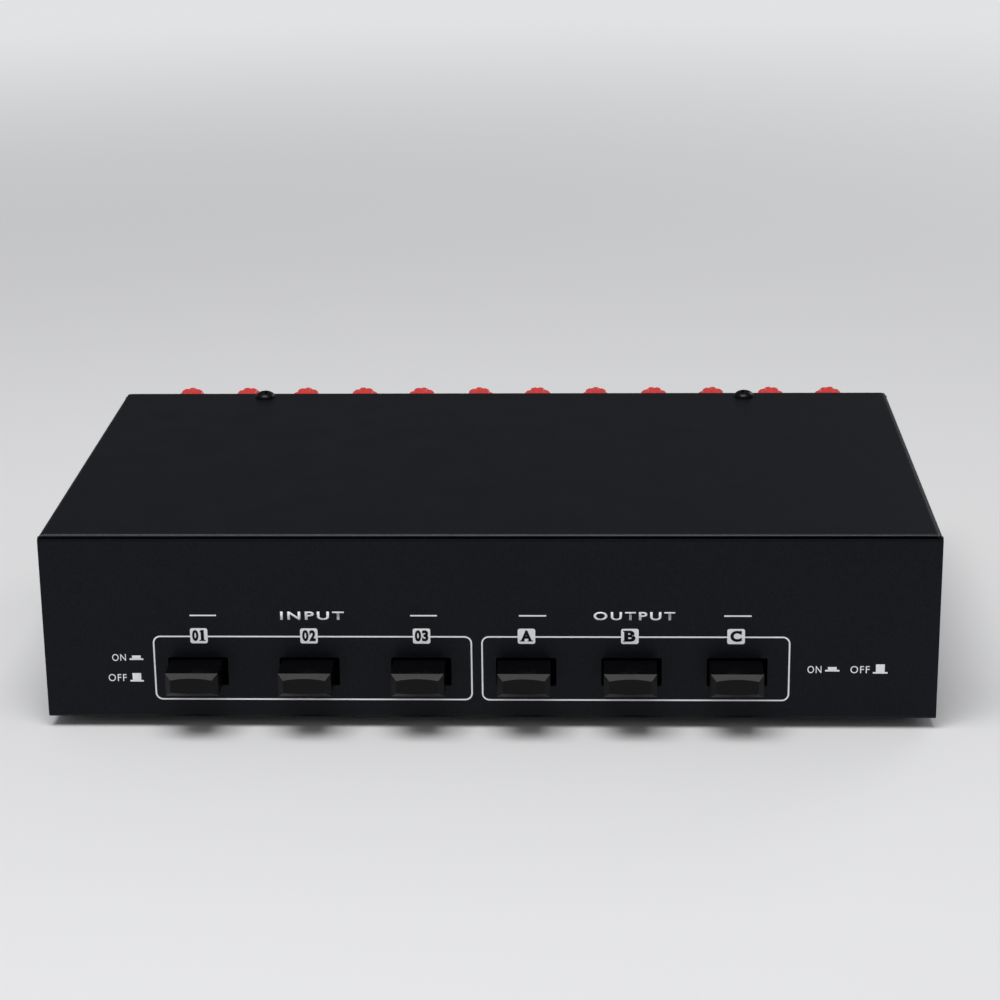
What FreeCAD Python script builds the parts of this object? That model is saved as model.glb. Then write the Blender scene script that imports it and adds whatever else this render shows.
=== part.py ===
import FreeCAD, Part
import math
import os
import re

import Sketcher

Vector = FreeCAD.Vector

# A speaker selector switch: a flat steel box with six push buttons in front and two rows of
# twelve binding posts behind. Millimetres. X runs along the front panel to the right as seen
# from the front, Y to the rear and Z up. The origin is at the middle of the whole object's
# underside: the feet stand on Z = 0, and Y = 0 is half way from the button tips to the post tips.
SIZES = {
    # Folded steel case
    "case_width": 245,
    "case_depth": 142,
    "case_height": 53.6,
    "wall": 1,
    "cover_bend": 2,
    "tray_bend": 1.2,
    "panel_fold": 1.4,
    "side_gap": 0.15,
    "lip_depth": 12,
    "skirt_rise": 0.6,
    "side_flange_height": 16,
    "side_flange_inset": 8,
    # Rubber feet
    "foot_height": 3,
    "foot_radius": 6,
    "foot_taper": 0.6,
    "foot_inset_side": 24,
    "foot_inset_end": 22,
    # Pan-head screws with a cross recess
    "screw_radius": 1.5,
    "screw_length": 4,
    "thread_gap": 0.05,
    "hole_gap": 0.15,
    "head_radius": 3.2,
    "head_height": 2,
    "head_crown": 1.1,
    "head_shoulder_radius": 2.6,
    "head_shoulder_drop": 0.3,
    "head_flat_radius": 1.45,
    "recess_width": 0.8,
    "recess_span": 3.4,
    "recess_depth": 1,
    "top_screw_span": 153.4,
    "top_screw_inset": 4.8,
    "side_screw_inset": 30,
    "side_screw_height": 10,
    # Push buttons: the caps, and the holes that they stand in
    "button_height": 13.75,
    "button_reach": 11.3,
    "button_travel": 4.5,
    "cap_width": 14.4,
    "cap_tall": 6.6,
    "cap_tail": 7.7,
    "cap_bevel": 1.5,
    "cap_dish": 0.4,
    "cap_offset": 0.45,
    "hole_width": 16.5,
    "hole_tall": 8.3,
    "hole_corner": 0.5,
    "input_centre": -49.4,
    "input_pitch": 30.75,
    "output_centre": 39,
    "output_pitch": 28.85,
    # Latching push switches behind the caps
    "plunger_width": 3.3,
    "plunger_grip": 6.5,
    "socket_gap": 0.05,
    "socket_spare": 0.5,
    "guide_gap": 0.3,
    "slider_width": 8,
    "slider_tall": 4,
    "slider_length": 14,
    "switch_width": 12,
    "switch_tall": 10.5,
    "switch_length": 32,
    "switch_front_wall": 2,
    "switch_gap": 2.3,
    "pin_width": 0.7,
    "pin_length": 3,
    "pin_hole_radius": 0.6,
    "pin_pitch": 5,
    "pin_row_span": 7.6,
    "pin_start": 3.5,
    # Return springs
    "spring_radius": 2.8,
    "spring_wire_radius": 0.2,
    # Circuit boards
    "board_thickness": 1.6,
    "board_margin_side": 9,
    "board_margin_front": 1.5,
    "board_margin_rear": 8,
    "board_screw_inset": 4.5,
    "standoff_width": 5.5,
    "terminal_margin_side": 8,
    "terminal_margin_top": 4.2,
    # Binding posts
    "post_pitch": 19.05,
    "post_row_gap": 19.05,
    "post_shift": 0.8,
    "post_row_drop": 8.8,
    "post_reach": 20,
    "collar_length": 4,
    "collar_radius": 5.2,
    "collar_edge": 0.5,
    "shoulder_radius": 4,
    "shoulder_gap": 0.1,
    "knob_gap": 0.2,
    "knob_radius": 5.5,
    "knob_skirt_radius": 5.1,
    "knob_skirt_length": 1.6,
    "knob_edge": 0.6,
    "scallop_radius": 1,
    "scallop_depth": 0.55,
    "stem_radius": 2.8,
    "stem_recess": 0.6,
    "stud_radius": 1.75,
    "stud_tail": 2,
    "bore_radius": 2,
    "bore_length": 12.4,
    "cross_hole_radius": 1.1,
    "cross_hole_place": 1.3,
    "post_gap": 0.05,
    "washer_radius": 5,
    "washer_thickness": 1.2,
    "nut_width": 7,
    "nut_thickness": 2.5,
    "solder_radius": 3.3,
    "solder_tip_radius": 2.4,
    "solder_height": 1.2,
    # Hook-up wires between the boards
    "wire_radius": 0.8,
    "wire_spread": 3,
    "wire_straight": 28,
    "wire_drop": 18,
}
POSTS_IN_ROW = 12
SCALLOPS = 12
BUTTONS_IN_GROUP = 3
PINS_IN_ROW = 6
SPRING_TURNS = 6
# The share of a wire's shorter run that an arc at its end takes
ARC_SHARE = 0.45

# Places that follow from the sizes, as formulas
FRONT = "((button_reach - case_depth - post_reach) / 2)"
REAR = f"({FRONT} + case_depth)"
TRAY_HALF = "(case_width / 2 - wall - side_gap)"
TRAY_TOP = "(foot_height + case_height - wall)"
LIP_HALF = "(case_width / 2 - cover_bend - side_gap)"
SKIRT_END = "(panel_fold + side_gap)"
BUTTON_Z = "(foot_height + button_height)"
SWITCH_FRONT = "(cap_tail + button_travel + switch_gap)"
SWITCH_REAR = f"({SWITCH_FRONT} + switch_length)"
SLIDER_FRONT = f"({SWITCH_FRONT} + switch_front_wall + guide_gap)"
BOARD_TOP = f"({BUTTON_Z} - switch_tall / 2)"
BOARD_FRONT = f"({FRONT} + {SWITCH_FRONT} - board_margin_front)"
BOARD_REAR = f"({FRONT} + {SWITCH_REAR} + board_margin_rear)"
BOARD_LEFT = "(input_centre - input_pitch - cap_offset - switch_width / 2 - board_margin_side)"
BOARD_RIGHT = "(output_centre + output_pitch - cap_offset + switch_width / 2 + board_margin_side)"
UPPER_ROW = "(foot_height + case_height - post_row_drop)"
LOWER_ROW = f"({UPPER_ROW} - post_row_gap)"
FIRST_POST = f"(post_shift - post_pitch * {(POSTS_IN_ROW - 1) / 2})"
ROW_SPAN = f"(post_pitch * {POSTS_IN_ROW - 1})"
NUT_FACE = "(wall + washer_thickness + nut_thickness)"
TERMINAL_FRONT = f"({REAR} - {NUT_FACE} - board_thickness)"
STUD_END = f"({NUT_FACE} + board_thickness + stud_tail)"
STEM_TIP = "(post_reach - stem_recess)"
KNOB_START = "(collar_length + knob_gap)"

doc = FreeCAD.newDocument("speaker_selector_switch")
sheet = doc.addObject("Spreadsheet::Sheet", "sizes")
for row, (size_name, size_value) in enumerate(SIZES.items(), 1):
    sheet.set(f"A{row}", str(size_value))
    sheet.setAlias(f"A{row}", size_name)
doc.recompute()


def formula(text):
    """A formula with each size's name turned into a reference to its cell."""
    return re.sub(r"[a-z]\w*", lambda word: f"sizes.{word[0]}" if word[0] in SIZES else word[0], text)


def value(text):
    """The number that a formula stands for now."""
    found = sheet.evalExpression(formula(text))
    return float(getattr(found, "Value", found))


def new_body(label):
    body = doc.addObject("PartDesign::Body", label)
    body.Label = label
    return body


def origin_feature(body, role):
    return next(f for f in body.Origin.OriginFeatures if f.Role == role)


def new_sketch(body, name, plane, offset):
    """A sketch on one of the body's own planes, moved along the plane's normal by a formula.

    The normal of XY_Plane is +Z, of XZ_Plane -Y and of YZ_Plane +X.
    """
    sketch = body.newObject("Sketcher::SketchObject", name)
    sketch.AttachmentSupport = [(origin_feature(body, plane), "")]
    sketch.MapMode = "FlatFace"
    sketch.setExpression("AttachmentOffset.Base.z", formula(offset))
    return sketch


def fix_point(sketch, edge, end, x, y):
    """Hold one end of an edge at the place that two formulas give."""
    for kind, text in (("DistanceX", x), ("DistanceY", y)):
        index = sketch.addConstraint(Sketcher.Constraint(kind, -1, 1, edge, end, value(text)))
        sketch.setExpression(f"Constraints[{index}]", formula(text))


def shifted(text, direction, distance):
    """A formula moved by a distance, along one axis direction of -1, 0 or 1."""
    if direction == 0:
        return text
    return f"{text} {'+' if direction > 0 else '-'} ({distance})"


def direction_of(start, end):
    """The direction of an outline's side, as -1, 0 or 1 along each axis."""
    steps = [value(b) - value(a) for a, b in zip(start[:2], end[:2])]
    return [0 if abs(step) < 1e-9 else int(math.copysign(1, step)) for step in steps]


def outline(body, name, plane, points, offset="0"):
    """A closed sketch through points, each an x and a y formula.

    A third formula rounds that corner, where both of its sides run along an axis.
    """
    sketch = new_sketch(body, name, plane, offset)
    corners = []
    for i, point in enumerate(points):
        if len(point) == 2:
            corners.append((point, point))
            continue
        before = direction_of(points[i - 1], point)
        after = direction_of(point, points[(i + 1) % len(points)])
        entry = [shifted(point[k], -before[k], point[2]) for k in (0, 1)]
        leave = [shifted(point[k], after[k], point[2]) for k in (0, 1)]
        corners.append((entry, leave))
    places = [[Vector(value(end[0]), value(end[1]), 0) for end in corner] for corner in corners]
    for i in range(len(points)):
        following = places[(i + 1) % len(points)]
        sketch.addGeometry(Part.LineSegment(places[i][1], following[0]), False)
    for i, point in enumerate(points):
        fix_point(sketch, i, 1, *corners[i][1][:2])
        if len(point) == 2:
            sketch.addConstraint(Sketcher.Constraint("Coincident", (i - 1) % len(points), 2, i, 1))
            continue
        fix_point(sketch, (i - 1) % len(points), 2, *corners[i][0])
        round_corner(sketch, i, (i - 1) % len(points), places[i], point)
    return sketch


def round_corner(sketch, side_after, side_before, ends, point):
    """A quarter circle between two sides, tangent to both."""
    entry, leave = ends
    corner = Vector(value(point[0]), value(point[1]), 0)
    centre = entry + leave - corner
    radius = value(point[2])
    turns_left = (corner - entry).cross(leave - corner).z > 0
    first, last = (entry, leave) if turns_left else (leave, entry)
    angles = [math.atan2(end.y - centre.y, end.x - centre.x) for end in (first, last)]
    circle = Part.Circle(centre, Vector(0, 0, 1), radius)
    arc = sketch.addGeometry(Part.ArcOfCircle(circle, *angles), False)
    entry_end, leave_end = (1, 2) if turns_left else (2, 1)
    sketch.addConstraint(Sketcher.Constraint("Coincident", side_before, 2, arc, entry_end))
    sketch.addConstraint(Sketcher.Constraint("Coincident", arc, leave_end, side_after, 1))
    index = sketch.addConstraint(Sketcher.Constraint("Radius", arc, radius))
    sketch.setExpression(f"Constraints[{index}]", formula(point[2]))


def rectangle(x, y, width, tall, corner=None):
    """The corners of a rectangle about a centre, for outline."""
    sides = [("-", "-"), ("+", "-"), ("+", "+"), ("-", "+")]
    points = [(f"{x} {a} ({width}) / 2", f"{y} {b} ({tall}) / 2") for a, b in sides]
    return [point + (corner,) for point in points] if corner else points


def circles(body, name, plane, places, radius, offset="0"):
    """A sketch of equal circles, each at an x and a y formula."""
    sketch = new_sketch(body, name, plane, offset)
    for i, (x, y) in enumerate(places):
        centre = Vector(value(x), value(y), 0)
        sketch.addGeometry(Part.Circle(centre, Vector(0, 0, 1), value(radius)), False)
        fix_point(sketch, i, 3, x, y)
        index = sketch.addConstraint(Sketcher.Constraint("Radius", i, value(radius)))
        sketch.setExpression(f"Constraints[{index}]", formula(radius))
    return sketch


def pad(body, name, profile, length, reverse=False, both_ways=False):
    feature = body.newObject("PartDesign::Pad", name)
    feature.Profile = profile
    feature.setExpression("Length", formula(length))
    feature.Reversed = reverse
    feature.Midplane = both_ways
    return feature


def pocket(body, name, profile, length, reverse=False, both_ways=False):
    """A cut against the sketch's normal, or along it where it is reversed."""
    feature = body.newObject("PartDesign::Pocket", name)
    feature.Profile = profile
    feature.setExpression("Length", formula(length))
    feature.Reversed = reverse
    feature.Midplane = both_ways
    return feature


def repeat_along_x(body, name, feature, span, count):
    pattern = body.newObject("PartDesign::LinearPattern", name)
    pattern.Originals = [feature]
    pattern.Direction = (origin_feature(body, "X_Axis"), [""])
    pattern.setExpression("Length", formula(span))
    pattern.Occurrences = count
    body.Tip = pattern
    return pattern


def turned(label, plane, points):
    """A body turned on a lathe: its half section, revolved about the sketch's upright axis."""
    body = new_body(label)
    profile = outline(body, f"{label}_section", plane, points)
    turn = body.newObject("PartDesign::Revolution", f"{label}_turn")
    turn.Profile = profile
    turn.ReferenceAxis = (profile, ["V_Axis"])
    turn.Angle = 360
    return body


def placed(label, original, x, y, z, axis=Vector(0, 0, 1), angle=0):
    """A copy of a body, turned about an axis and set at the place that three formulas give."""
    copy = doc.addObject("App::Link", label)
    copy.LinkedObject = original
    copy.Label = label
    copy.Placement = FreeCAD.Placement(Vector(), FreeCAD.Rotation(axis, angle))
    for letter, text in zip("xyz", (x, y, z)):
        copy.setExpression(f"Placement.Base.{letter}", formula(text))
    return copy


def group(label, copies):
    """Like pieces that share one node, each still a solid of its own."""
    compound = doc.addObject("Part::Compound", label)
    compound.Label = label
    compound.Links = copies
    return compound


def chassis_tray():
    """Bottom, front and rear panels folded from one sheet, with lips under the cover.

    The panels are as wide as the case, so that they hide the ends of the cover's skirts.
    """
    body = new_body("chassis_tray")
    floor = "foot_height"
    section = [
        (FRONT, floor, "tray_bend"),
        (REAR, floor, "tray_bend"),
        (REAR, TRAY_TOP, "tray_bend"),
        (f"{REAR} - panel_fold", TRAY_TOP),
        (f"{REAR} - panel_fold", f"{TRAY_TOP} - wall"),
        (f"{REAR} - wall", f"{TRAY_TOP} - wall"),
        (f"{REAR} - wall", f"{floor} + wall"),
        (f"{FRONT} + wall", f"{floor} + wall"),
        (f"{FRONT} + wall", f"{TRAY_TOP} - wall"),
        (f"{FRONT} + panel_fold", f"{TRAY_TOP} - wall"),
        (f"{FRONT} + panel_fold", TRAY_TOP),
        (FRONT, TRAY_TOP, "tray_bend"),
    ]
    pad(body, "folded_sheet", outline(body, "folded_section", "YZ_Plane", section),
        f"2 * {TRAY_HALF}", both_ways=True)
    for panel, face, inwards in (("front", FRONT, "+"), ("rear", REAR, "-")):
        widened = [
            (face, floor, "tray_bend"),
            (f"{face} {inwards} panel_fold", floor),
            (f"{face} {inwards} panel_fold", f"{floor} + wall"),
            (f"{face} {inwards} wall", f"{floor} + wall"),
            (f"{face} {inwards} wall", f"{TRAY_TOP} - wall"),
            (f"{face} {inwards} panel_fold", f"{TRAY_TOP} - wall"),
            (f"{face} {inwards} panel_fold", TRAY_TOP),
            (face, TRAY_TOP, "tray_bend"),
        ]
        profile = outline(body, f"{panel}_panel_section", "YZ_Plane", widened)
        pad(body, f"{panel}_panel", profile, "case_width", both_ways=True)
        lip = [
            (f"{face} {inwards} tray_bend", TRAY_TOP),
            (f"{face} {inwards} lip_depth", TRAY_TOP),
            (f"{face} {inwards} lip_depth", f"{TRAY_TOP} - wall"),
            (f"{face} {inwards} tray_bend", f"{TRAY_TOP} - wall"),
        ]
        pad(body, f"{panel}_lip", outline(body, f"{panel}_lip_section", "YZ_Plane", lip),
            f"2 * {LIP_HALF}", both_ways=True)
    for side, sign in (("left", "-"), ("right", "+")):
        strip = rectangle(f"{sign}({TRAY_HALF} - wall / 2)", f"{floor} + wall + side_flange_height / 2",
                          "wall", "side_flange_height")
        start = f"-({FRONT} + side_flange_inset)"
        profile = outline(body, f"{side}_flange_section", "XZ_Plane", strip, start)
        pad(body, f"{side}_flange", profile, "case_depth - 2 * side_flange_inset", reverse=True)
    for group_name in ("input", "output"):
        first = f"{group_name}_centre - {group_name}_pitch"
        hole = rectangle(first, BUTTON_Z, "hole_width", "hole_tall", "hole_corner")
        profile = outline(body, f"{group_name}_hole_shape", "XZ_Plane", hole, f"-{FRONT}")
        cut = pocket(body, f"{group_name}_hole", profile, "wall")
        repeat_along_x(body, f"{group_name}_holes", cut, f"2 * {group_name}_pitch", BUTTONS_IN_GROUP)
    post_places = [(FIRST_POST, LOWER_ROW), (FIRST_POST, UPPER_ROW)]
    profile = circles(body, "post_hole_shape", "XZ_Plane", post_places, "shoulder_radius",
                      f"-({REAR} - wall)")
    cut = pocket(body, "post_hole", profile, "wall")
    repeat_along_x(body, "post_holes", cut, ROW_SPAN, POSTS_IN_ROW)
    lip_places = [(f"{sign}top_screw_span / 2", f"{REAR} - top_screw_inset") for sign in "-+"]
    profile = circles(body, "lip_hole_shape", "XY_Plane", lip_places, "screw_radius + thread_gap", TRAY_TOP)
    pocket(body, "lip_holes", profile, "wall")
    profile = circles(body, "side_hole_shape", "YZ_Plane", side_screw_places(), "screw_radius + thread_gap")
    pocket(body, "side_holes", profile, f"2 * {TRAY_HALF}", both_ways=True)
    return body


def side_screw_places():
    height = "foot_height + side_screw_height"
    return [(f"{FRONT} + side_screw_inset", height), (f"{REAR} - side_screw_inset", height)]


def top_cover():
    """The lid and both skirts, one sheet folded down over the tray; the skirts end behind its panels."""
    body = new_body("top_cover")
    half = "case_width / 2"
    top = "foot_height + case_height"
    hem = "foot_height + skirt_rise"
    section = [
        (f"-{half}", hem),
        (f"-{half} + wall", hem),
        (f"-{half} + wall", f"{top} - wall", "cover_bend - wall"),
        (f"{half} - wall", f"{top} - wall", "cover_bend - wall"),
        (f"{half} - wall", hem),
        (half, hem),
        (half, top, "cover_bend"),
        (f"-{half}", top, "cover_bend"),
    ]
    profile = outline(body, "cover_section", "XZ_Plane", section, f"-{FRONT}")
    pad(body, "cover_sheet", profile, "case_depth", reverse=True)
    skirt_end = rectangle("0", f"({hem} + {TRAY_TOP}) / 2", "case_width", f"{TRAY_TOP} - ({hem})")
    for end, start in (("front", f"-({FRONT} + {SKIRT_END})"), ("rear", f"-{REAR}")):
        profile = outline(body, f"{end}_end_shape", "XZ_Plane", skirt_end, start)
        pocket(body, f"{end}_skirt_ends", profile, SKIRT_END, reverse=True)
    places = [(f"{sign}top_screw_span / 2", f"{REAR} - top_screw_inset") for sign in "-+"]
    profile = circles(body, "top_hole_shape", "XY_Plane", places, "screw_radius + hole_gap", top)
    pocket(body, "top_holes", profile, "wall")
    profile = circles(body, "skirt_hole_shape", "YZ_Plane", side_screw_places(), "screw_radius + hole_gap")
    pocket(body, "skirt_holes", profile, "case_width", both_ways=True)
    return body


def rubber_foot():
    """A stick-on foot: a low cone with its wide end against the case."""
    return turned("rubber_foot", "XZ_Plane", [
        ("0", "0"),
        ("foot_radius - foot_taper", "0"),
        ("foot_radius", "foot_taper"),
        ("foot_radius", "foot_height"),
        ("0", "foot_height"),
    ])


def pan_head_screw():
    """A screw along Z, its head's seat at the origin, with a cross cut in its domed head."""
    body = turned("pan_head_screw", "XZ_Plane", [
        ("0", "-screw_length"),
        ("screw_radius", "-screw_length"),
        ("screw_radius", "0"),
        ("head_radius", "0"),
        ("head_radius", "head_height - head_crown"),
        ("head_shoulder_radius", "head_height - head_shoulder_drop"),
        ("head_flat_radius", "head_height"),
        ("0", "head_height"),
    ])
    arm = "recess_span / 2"
    slot = "recess_width / 2"
    cross = []
    for quarter in range(4):
        for along, across in ((arm, f"-{slot}"), (arm, slot), (slot, slot)):
            cross.append(quarter_turned(along, across, quarter))
    profile = outline(body, "recess_shape", "XY_Plane", cross, "head_height")
    pocket(body, "recess", profile, "recess_depth")
    return body


def quarter_turned(x, y, quarters):
    """A point given by two formulas, turned about the origin by quarter turns."""
    for _ in range(quarters):
        x, y = f"-({y})", x
    return x, y


def button_cap():
    """A key cap along Y, its axis at the origin where it passes the panel's outer face."""
    body = new_body("button_cap")
    profile = outline(body, "cap_section", "XZ_Plane", rectangle("0", "0", "cap_width", "cap_tall"),
                      "button_reach")
    block = pad(body, "cap_block", profile, "button_reach + cap_tail", reverse=True)
    doc.recompute()
    tip = -value("button_reach")
    rim = [f"Edge{i}" for i, edge in enumerate(block.Shape.Edges, 1)
           if all(abs(vertex.Point.y - tip) < 1e-6 for vertex in edge.Vertexes)]
    bevel = body.newObject("PartDesign::Chamfer", "cap_bevels")
    bevel.Base = (block, rim)
    bevel.setExpression("Size", formula("cap_bevel"))
    chord = "(cap_width - 2 * cap_bevel)"
    dish_radius = f"({chord} ^ 2 / (8 * cap_dish) + cap_dish / 2)"
    profile = circles(body, "dish_shape", "XY_Plane", [("0", f"-button_reach + cap_dish - {dish_radius}")],
                      dish_radius)
    pocket(body, "dish", profile, "2 * cap_tall", both_ways=True)
    hole = rectangle("0", "0", "plunger_width + 2 * socket_gap", "plunger_width + 2 * socket_gap")
    profile = outline(body, "socket_section", "XZ_Plane", hole, "-cap_tail")
    pocket(body, "socket", profile, "plunger_grip + socket_spare", reverse=True)
    return body


def plunger():
    """The switch's moving core: a square rod pressed into the cap, and the contact slider."""
    body = new_body("plunger")
    profile = outline(body, "rod_section", "XZ_Plane", rectangle("0", "0", "plunger_width", "plunger_width"),
                      "-(cap_tail - plunger_grip)")
    pad(body, "rod", profile, f"{SLIDER_FRONT} - cap_tail + plunger_grip", reverse=True)
    profile = outline(body, "slider_section", "XZ_Plane", rectangle("0", "0", "slider_width", "slider_tall"),
                      f"-{SLIDER_FRONT}")
    pad(body, "slider", profile, "slider_length", reverse=True)
    return body


def switch_body():
    """A latching switch's housing: a block with a channel for the slider, open at the rear."""
    body = new_body("switch_body")
    profile = outline(body, "housing_section", "XZ_Plane", rectangle("0", "0", "switch_width", "switch_tall"),
                      f"-{SWITCH_FRONT}")
    pad(body, "housing", profile, "switch_length", reverse=True)
    channel = rectangle("0", "0", "slider_width + 2 * guide_gap", "slider_tall + 2 * guide_gap")
    profile = outline(body, "channel_section", "XZ_Plane", channel, f"-{SWITCH_REAR}")
    pocket(body, "channel", profile, "switch_length - switch_front_wall", reverse=True)
    window = rectangle("0", "0", "plunger_width + 2 * guide_gap", "plunger_width + 2 * guide_gap")
    profile = outline(body, "window_section", "XZ_Plane", window, f"-{SWITCH_FRONT}")
    pocket(body, "window", profile, "switch_front_wall")
    return body


def pin_places():
    """The places of one switch's pins, from the button's axis at the panel."""
    return [(f"{sign}pin_row_span / 2", f"{SWITCH_FRONT} + pin_start + {i} * pin_pitch")
            for sign in "-+" for i in range(PINS_IN_ROW)]


def switch_pin():
    body = new_body("switch_pin")
    profile = outline(body, "pin_section", "XY_Plane", rectangle("0", "0", "pin_width", "pin_width"))
    pad(body, "pin", profile, "pin_length", reverse=True)
    return body


def return_spring():
    """A coil round the plunger, from the cap's back to the switch, as arcs of a quarter turn."""
    radius = value("spring_radius")
    start = value("cap_tail + spring_wire_radius")
    length = value(f"{SWITCH_FRONT} - cap_tail - 2 * spring_wire_radius")
    quarters = 4 * SPRING_TURNS

    def on_helix(step):
        angle = step * math.pi / 2
        return Vector(radius * math.cos(angle), start + length * step / quarters, radius * math.sin(angle))

    arcs = [Part.Arc(on_helix(i), on_helix(i + 0.5), on_helix(i + 1)).toShape() for i in range(quarters)]
    path = Part.Wire(arcs)
    edge = path.OrderedEdges[0]
    section = Part.Circle(on_helix(0), edge.tangentAt(edge.FirstParameter), value("spring_wire_radius"))
    spring = doc.addObject("Part::Feature", "return_spring")
    spring.Shape = path.makePipeShell([Part.Wire(section.toShape())], True, False)
    return spring


def switch_board():
    """The board that carries the six switches."""
    body = new_body("switch_board")
    middle_x = f"({BOARD_LEFT} + {BOARD_RIGHT}) / 2"
    middle_y = f"({BOARD_FRONT} + {BOARD_REAR}) / 2"
    shape = rectangle(middle_x, middle_y, f"{BOARD_RIGHT} - {BOARD_LEFT}", f"{BOARD_REAR} - {BOARD_FRONT}")
    profile = outline(body, "board_shape", "XY_Plane", shape, f"{BOARD_TOP} - board_thickness")
    pad(body, "board", profile, "board_thickness")
    profile = circles(body, "board_screw_shape", "XY_Plane", board_screw_places(), "screw_radius + hole_gap",
                      BOARD_TOP)
    pocket(body, "board_screw_holes", profile, "board_thickness")
    for group_name in ("input", "output"):
        axis = f"{group_name}_centre - {group_name}_pitch - cap_offset"
        places = [(f"{axis} {x}", f"{FRONT} + {y}") for x, y in pin_places()]
        profile = circles(body, f"{group_name}_pin_shape", "XY_Plane", places, "pin_hole_radius", BOARD_TOP)
        cut = pocket(body, f"{group_name}_pin_row", profile, "board_thickness")
        repeat_along_x(body, f"{group_name}_pin_rows", cut, f"2 * {group_name}_pitch", BUTTONS_IN_GROUP)
    return body


def board_screw_places():
    return [(x, y)
            for x in (f"{BOARD_LEFT} + board_screw_inset", f"{BOARD_RIGHT} - board_screw_inset")
            for y in (f"{BOARD_FRONT} + board_screw_inset", f"{BOARD_REAR} - board_screw_inset")]


def hexagon(width):
    """The corners of a hexagon by its width across the flats."""
    corners = [math.radians(60 * i) for i in range(6)]
    reach = 1 / math.sqrt(3)
    return [(f"{width} * {reach * math.cos(a):.9f}", f"{width} * {reach * math.sin(a):.9f}") for a in corners]


def standoff():
    """A hexagonal threaded pillar, pressed into the tray's bottom, along Z."""
    body = new_body("standoff")
    height = f"({BOARD_TOP} - board_thickness - foot_height - wall)"
    pad(body, "pillar", outline(body, "pillar_section", "XY_Plane", hexagon("standoff_width")), height)
    profile = circles(body, "pillar_hole", "XY_Plane", [("0", "0")], "screw_radius + thread_gap", height)
    pocket(body, "pillar_thread", profile, height)
    return body


def terminal_board():
    """The board behind the binding posts, soldered to every stud."""
    body = new_body("terminal_board")
    shape = rectangle(f"{FIRST_POST} + {ROW_SPAN} / 2", f"{LOWER_ROW} + post_row_gap / 2",
                      f"{ROW_SPAN} + 2 * terminal_margin_side", "post_row_gap + 2 * terminal_margin_top")
    profile = outline(body, "terminal_shape", "XZ_Plane", shape, f"-{TERMINAL_FRONT}")
    pad(body, "terminal_sheet", profile, "board_thickness", reverse=True)
    places = [(FIRST_POST, LOWER_ROW), (FIRST_POST, UPPER_ROW)]
    profile = circles(body, "stud_hole_shape", "XZ_Plane", places, "stud_radius + post_gap",
                      f"-{TERMINAL_FRONT}")
    cut = pocket(body, "stud_hole", profile, "board_thickness")
    repeat_along_x(body, "stud_holes", cut, ROW_SPAN, POSTS_IN_ROW)
    return body


def post_stem():
    """A brass stem along Y from the panel's outer face: the plug's bore, a wire hole, the stud."""
    body = turned("post_stem", "XY_Plane", [
        ("0", f"-{STUD_END}"),
        ("stud_radius", f"-{STUD_END}"),
        ("stud_radius", "0"),
        ("stem_radius", "0"),
        ("stem_radius", STEM_TIP),
        ("bore_radius", STEM_TIP),
        ("bore_radius", f"{STEM_TIP} - bore_length"),
        ("0", f"{STEM_TIP} - bore_length"),
    ])
    profile = circles(body, "wire_hole_shape", "XY_Plane", [("0", "collar_length + cross_hole_place")],
                      "cross_hole_radius")
    pocket(body, "wire_hole", profile, "3 * stem_radius", both_ways=True)
    return body


def post_collar():
    """A plastic collar that keeps the stem off the panel, with a shoulder in the panel's hole."""
    return turned("post_collar", "XY_Plane", [
        ("stud_radius + post_gap", "-(wall - shoulder_gap)"),
        ("shoulder_radius - post_gap", "-(wall - shoulder_gap)"),
        ("shoulder_radius - post_gap", "0"),
        ("collar_radius", "0"),
        ("collar_radius", "collar_length - collar_edge"),
        ("collar_radius - collar_edge", "collar_length"),
        ("stem_radius + post_gap", "collar_length"),
        ("stem_radius + post_gap", "0"),
        ("stud_radius + post_gap", "0"),
    ])


def post_knob():
    """A screw cap with a scalloped grip, open at its end for a plug."""
    inner = "(stem_radius + post_gap)"
    skirt = f"({KNOB_START} + knob_skirt_length)"
    body = turned("post_knob", "XY_Plane", [
        (inner, KNOB_START),
        ("knob_skirt_radius", KNOB_START),
        ("knob_skirt_radius", skirt),
        ("knob_radius", skirt),
        ("knob_radius", "post_reach - knob_edge"),
        ("knob_radius - knob_edge", "post_reach"),
        (f"{inner} + knob_edge", "post_reach"),
        (inner, "post_reach - knob_edge"),
    ])
    place = [("0", "knob_radius + scallop_radius - scallop_depth")]
    profile = circles(body, "scallop_shape", "XZ_Plane", place, "scallop_radius", "-post_reach")
    cut = pocket(body, "scallop", profile, f"post_reach - {skirt}", reverse=True)
    pattern = body.newObject("PartDesign::PolarPattern", "scallops")
    pattern.Originals = [cut]
    pattern.Axis = (origin_feature(body, "Y_Axis"), [""])
    pattern.Angle = 360
    pattern.Occurrences = SCALLOPS
    body.Tip = pattern
    return body


def inner_washer():
    """A fibre washer between the nut and the panel's inner face."""
    return turned("inner_washer", "XY_Plane", [
        ("stud_radius + post_gap", "-(wall + washer_thickness)"),
        ("washer_radius", "-(wall + washer_thickness)"),
        ("washer_radius", "-wall"),
        ("stud_radius + post_gap", "-wall"),
    ])


def stem_nut():
    body = new_body("stem_nut")
    profile = outline(body, "nut_section", "XZ_Plane", hexagon("nut_width"), NUT_FACE)
    pad(body, "nut_blank", profile, "nut_thickness", reverse=True)
    profile = circles(body, "nut_hole_shape", "XZ_Plane", [("0", "0")], "stud_radius + post_gap", NUT_FACE)
    pocket(body, "nut_thread", profile, "nut_thickness")
    return body


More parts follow.
